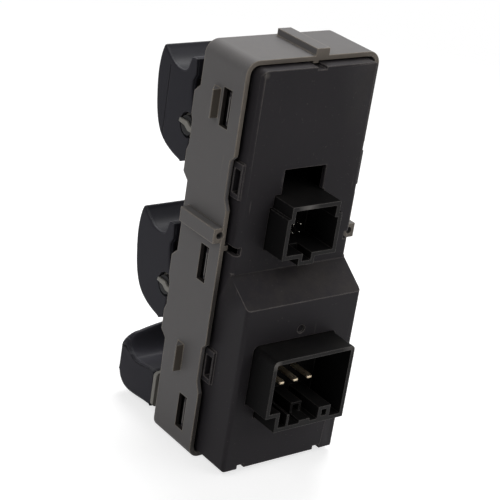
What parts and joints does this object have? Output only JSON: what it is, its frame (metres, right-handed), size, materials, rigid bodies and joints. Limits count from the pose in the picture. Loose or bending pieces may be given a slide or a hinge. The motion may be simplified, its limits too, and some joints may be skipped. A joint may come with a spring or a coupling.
{
  "type": "power window switch",
  "caption": "Vehicle door window switch: paired rockers over a wide lock-out rocker in a snap-together housing, with keyed plug sockets on its stepped rear cover.",
  "frame": {"origin": "middle of the frame's lower end, which the switch stands on, halfway between the frame's front ledge and its back rim", "axes": "+Z along the switch from its lower to its upper end, +Y out of the rear cover and its plug sockets, -Y towards the operator's fingers, +X to the operator's right"},
  "size_m": [0.0516, 0.0665, 0.1241],
  "materials": {
    "frame_plastic": "fine-grained warm grey moulded plastic",
    "cover_plastic": "fine-grained very dark grey moulded plastic",
    "deck_plastic": "black moulded plastic",
    "socket_plastic": "black glass-filled plastic",
    "cap_plastic": "satin charcoal soft-touch plastic",
    "core_plastic": "light grey moulded plastic",
    "board_laminate": "near black solder resist",
    "terminal_brass": "plated brass",
    "pin_steel": "tin-plated pins",
    "chip_plastic": "black moulding compound",
    "can_aluminium": "sleeved aluminium can",
    "lamp_resin": "clear white resin"
  },
  "bodies": {
    "housing": {"frame": "frame_plastic", "screw_bosses": "frame_plastic", "rear_cover": "cover_plastic", "switch_deck": "deck_plastic", "circuit_board": "board_laminate", "small_socket": "socket_plastic", "small_pins": "pin_steel", "large_socket": "socket_plastic", "large_blades": "terminal_brass", "pivot_clips": "core_plastic", "contact_pads": "terminal_brass", "control_chips": "chip_plastic", "capacitors": "can_aluminium", "indicator_leds": "lamp_resin"},
    "rocker_upper_right": {"cap_upper_right": "cap_plastic", "core_upper_right": "core_plastic"},
    "slide_upper_right": {"slider_upper_right": "core_plastic", "wiper_upper_right": "terminal_brass"},
    "rocker_upper_left": {"cap_upper_left": "cap_plastic", "core_upper_left": "core_plastic"},
    "slide_upper_left": {"slider_upper_left": "core_plastic", "wiper_upper_left": "terminal_brass"},
    "rocker_lower_right": {"cap_lower_right": "cap_plastic", "core_lower_right": "core_plastic"},
    "slide_lower_right": {"slider_lower_right": "core_plastic", "wiper_lower_right": "terminal_brass"},
    "rocker_lower_left": {"cap_lower_left": "cap_plastic", "core_lower_left": "core_plastic"},
    "slide_lower_left": {"slider_lower_left": "core_plastic", "wiper_lower_left": "terminal_brass"},
    "rocker_lockout": {"cap_lockout": "cap_plastic", "core_lockout": "core_plastic"},
    "slide_lockout": {"slider_lockout": "core_plastic", "wiper_lockout": "terminal_brass"}
  },
  "joints": [
    {"name": "tilt_upper_right", "type": "hinge", "parent": "housing", "child": "rocker_upper_right", "pos_m": [0.0108, -0.01615, 0.0942], "axis": [1, 0, 0], "range_deg": [-7, 7], "stiffness_Nm_per_rad": 0.6},
    {"name": "tilt_upper_left", "type": "hinge", "parent": "housing", "child": "rocker_upper_left", "pos_m": [-0.0108, -0.01615, 0.0942], "axis": [1, 0, 0], "range_deg": [-7, 7], "stiffness_Nm_per_rad": 0.6},
    {"name": "tilt_lower_right", "type": "hinge", "parent": "housing", "child": "rocker_lower_right", "pos_m": [0.0108, -0.01615, 0.0442], "axis": [1, 0, 0], "range_deg": [-7, 7], "stiffness_Nm_per_rad": 0.6},
    {"name": "tilt_lower_left", "type": "hinge", "parent": "housing", "child": "rocker_lower_left", "pos_m": [-0.0108, -0.01615, 0.0442], "axis": [1, 0, 0], "range_deg": [-7, 7], "stiffness_Nm_per_rad": 0.6},
    {"name": "tilt_lockout", "type": "hinge", "parent": "housing", "child": "rocker_lockout", "pos_m": [0, -0.01615, 0.0096], "axis": [1, 0, 0], "range_deg": [-5, 5], "stiffness_Nm_per_rad": 0.6},
    {"name": "travel_upper_right", "type": "slide", "parent": "housing", "child": "slide_upper_right", "axis": [0, 0, 1], "range_m": [-0.00142, 0.00142]},
    {"name": "travel_upper_left", "type": "slide", "parent": "housing", "child": "slide_upper_left", "axis": [0, 0, 1], "range_m": [-0.00142, 0.00142]},
    {"name": "travel_lower_right", "type": "slide", "parent": "housing", "child": "slide_lower_right", "axis": [0, 0, 1], "range_m": [-0.00142, 0.00142]},
    {"name": "travel_lower_left", "type": "slide", "parent": "housing", "child": "slide_lower_left", "axis": [0, 0, 1], "range_m": [-0.00142, 0.00142]},
    {"name": "travel_lockout", "type": "slide", "parent": "housing", "child": "slide_lockout", "axis": [0, 0, 1], "range_m": [-0.00142, 0.00142]}
  ],
  "couplings": [
    {"joint": "travel_upper_right", "follows": "tilt_upper_right", "m_per_rad": 0.0115},
    {"joint": "travel_upper_left", "follows": "tilt_upper_left", "m_per_rad": 0.0115},
    {"joint": "travel_lower_right", "follows": "tilt_lower_right", "m_per_rad": 0.0115},
    {"joint": "travel_lower_left", "follows": "tilt_lower_left", "m_per_rad": 0.0115},
    {"joint": "travel_lockout", "follows": "tilt_lockout", "m_per_rad": 0.0115}
  ]
}
